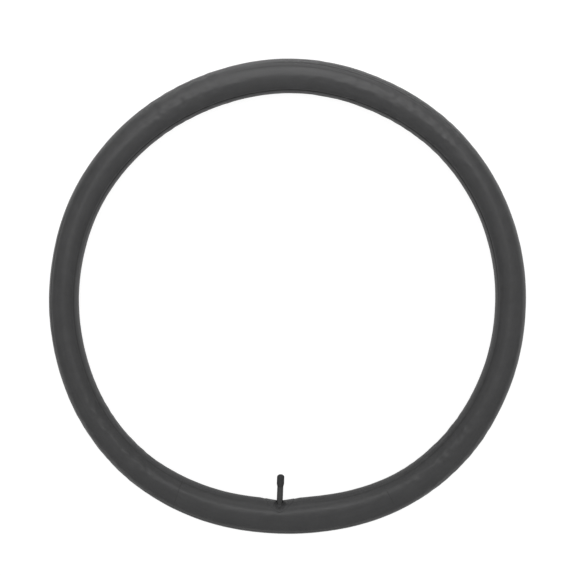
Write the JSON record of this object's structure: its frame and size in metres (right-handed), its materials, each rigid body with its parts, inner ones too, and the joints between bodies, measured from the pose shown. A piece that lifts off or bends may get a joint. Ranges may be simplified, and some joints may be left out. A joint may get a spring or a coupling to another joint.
{
  "type": "bicycle inner tube",
  "caption": "Lightly inflated butyl bicycle inner tube for a 26 inch rim, with a rubber-covered car-type valve, spring-loaded core and screw-on dust cap.",
  "frame": {"origin": "centre of the ring, on its axis, halfway through the thickness of the tube as it lies flat", "axes": "+Z is the ring's axis and points up when the tube lies flat; the valve stands on the inside of the ring at -Y and points along +Y, to the centre; +X is to the right when the valve is nearest the viewer"},
  "size_m": [0.6459, 0.646, 0.0434],
  "materials": {
    "tube_rubber": "satin butyl with faint dusting",
    "stem_rubber": "smooth satin moulding",
    "cap_plastic": "satin moulded plastic",
    "brass": "turned",
    "steel": "drawn wire",
    "red_seal": "matte",
    "black_seal": "matte"
  },
  "bodies": {
    "root": {"tube_body": "tube_rubber", "valve_patch": "tube_rubber", "valve_sleeve": "stem_rubber", "valve_stem": "brass", "core_plug": "brass", "core_barrel": "brass", "core_gasket": "red_seal", "core_spring": "steel"},
    "pin": {"core_pin": "steel", "core_cup": "brass", "core_cup_seal": "black_seal"},
    "cap_washer": {"cap_seal": "black_seal"},
    "cap": {"cap_shell": "cap_plastic"}
  },
  "joints": [
    {"name": "pin_press", "type": "slide", "parent": "root", "child": "pin", "axis": [0, -1, 0], "range_m": [0, 0.0018], "stiffness_N_per_m": 300, "springref_m": -0.006, "deforming": ["core_spring"]},
    {"name": "cap_lift", "type": "slide", "parent": "root", "child": "cap_washer", "axis": [0, 1, 0], "range_m": [0, 0.0246]},
    {"name": "cap_turn", "type": "hinge", "parent": "cap_washer", "child": "cap", "pos_m": [0, -0.2465, 0], "axis": [0, 1, 0], "range_deg": [0, 11160]}
  ],
  "couplings": [
    {"joint": "cap_turn", "follows": "cap_lift", "rad_per_m": 7913.3}
  ]
}
